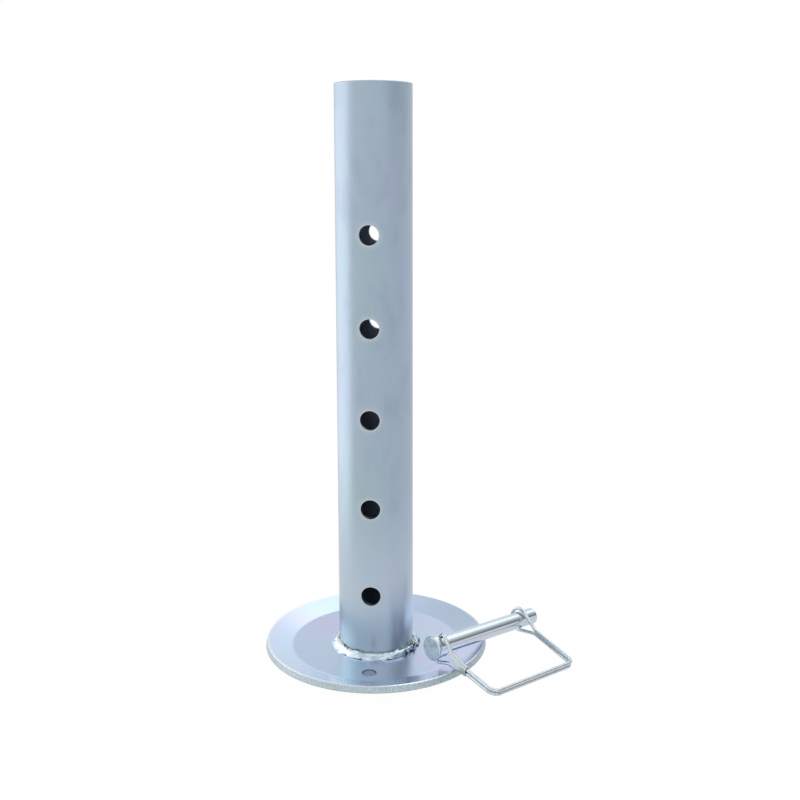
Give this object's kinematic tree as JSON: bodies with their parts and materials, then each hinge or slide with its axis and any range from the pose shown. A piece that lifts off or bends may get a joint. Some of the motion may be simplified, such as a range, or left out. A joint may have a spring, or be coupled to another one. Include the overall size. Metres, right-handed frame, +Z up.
{
  "type": "drop leg stand",
  "caption": "Round drop leg with cross-drilled height holes, welded to a dished foot plate, with a loose lock pin and its square wire bail.",
  "frame": {"origin": "middle of the foot plate's underside, on the floor, on the tube's axis", "axes": "+Z up the tube, -Y towards the side that the height holes and the anchor hole face, +X towards the side that the lock pin lies on"},
  "size_m": [0.2101, 0.152, 0.384],
  "materials": {
    "zinc_tube": "satin, blue-white zinc plating over drawn tube",
    "zinc_plate": "satin, blue-white zinc plating with a faint lilac cast",
    "weld_metal": "rippled weld bead, plated over, glossy",
    "zinc_pin": "bright zinc plating over turned steel",
    "zinc_wire": "bright zinc plating over spring wire",
    "zinc_sheet": "satin zinc-plated sheet"
  },
  "bodies": {
    "stand": {"leg_tube": "zinc_tube", "foot_plate": "zinc_plate", "base_weld": "weld_metal"},
    "pin": {"lock_pin": "zinc_pin"},
    "bail": {"bail_wire": "zinc_wire", "bail_ferrule": "zinc_sheet"}
  },
  "joints": [
    {"name": "pin_lift", "type": "slide", "parent": "stand", "child": "pin", "axis": [0.5238, -0.475, 0.7071], "range_m": [0, 0.15]},
    {"name": "bail_swing", "type": "hinge", "parent": "pin", "child": "bail", "pos_m": [0.04602, -0.03242, 0.01859], "axis": [-0.2006, 0.1009, -0.9745], "range_deg": [0, 32], "deforming": ["bail_wire"]}
  ]
}
